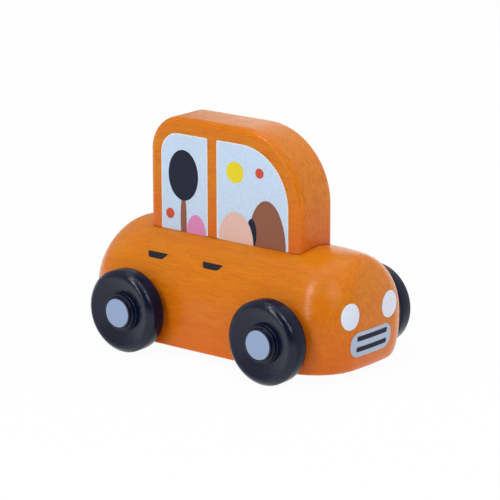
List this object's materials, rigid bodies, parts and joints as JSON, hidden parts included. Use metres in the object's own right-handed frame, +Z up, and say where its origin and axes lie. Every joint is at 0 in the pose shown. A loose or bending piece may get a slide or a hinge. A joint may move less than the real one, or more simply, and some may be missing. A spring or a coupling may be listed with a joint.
{
  "type": "toy car",
  "caption": "Wooden push-along toy car: a rounded body block with a slab cabin seated in its crown, on axles that turn freely with a wheel pressed on each end.",
  "frame": {"origin": "on the floor under the middle of the car's box, with the wheels standing on z = 0", "axes": "+X forward towards the nose, +Y to the car's left along the axles, +Z up"},
  "size_m": [0.116, 0.0716, 0.0822],
  "materials": {
    "stained_wood": "orange stain under satin varnish",
    "bare_wood": "turned, unfinished",
    "wheel_plastic": "satin moulded",
    "cap_plastic": "satin moulded",
    "axle_steel": "drawn rod",
    "printed_ink": "pad-printed ink on the varnish"
  },
  "bodies": {
    "chassis": {"body_block": "stained_wood", "cabin_block": "stained_wood", "front_dowel": "bare_wood", "rear_dowel": "bare_wood"},
    "front_wheelset": {"front_axle": "axle_steel", "front_left_wheel": "wheel_plastic", "front_right_wheel": "wheel_plastic", "front_left_hub_cap": "cap_plastic", "front_right_hub_cap": "cap_plastic"},
    "rear_wheelset": {"rear_axle": "axle_steel", "rear_left_wheel": "wheel_plastic", "rear_right_wheel": "wheel_plastic", "rear_left_hub_cap": "cap_plastic", "rear_right_hub_cap": "cap_plastic"}
  },
  "joints": [
    {"name": "front_axle_spin", "type": "hinge", "parent": "chassis", "child": "front_wheelset", "pos_m": [0.0335, 0, 0.015], "axis": [0, 1, 0], "continuous": true},
    {"name": "rear_axle_spin", "type": "hinge", "parent": "chassis", "child": "rear_wheelset", "pos_m": [-0.0301, 0, 0.015], "axis": [0, 1, 0], "continuous": true}
  ]
}
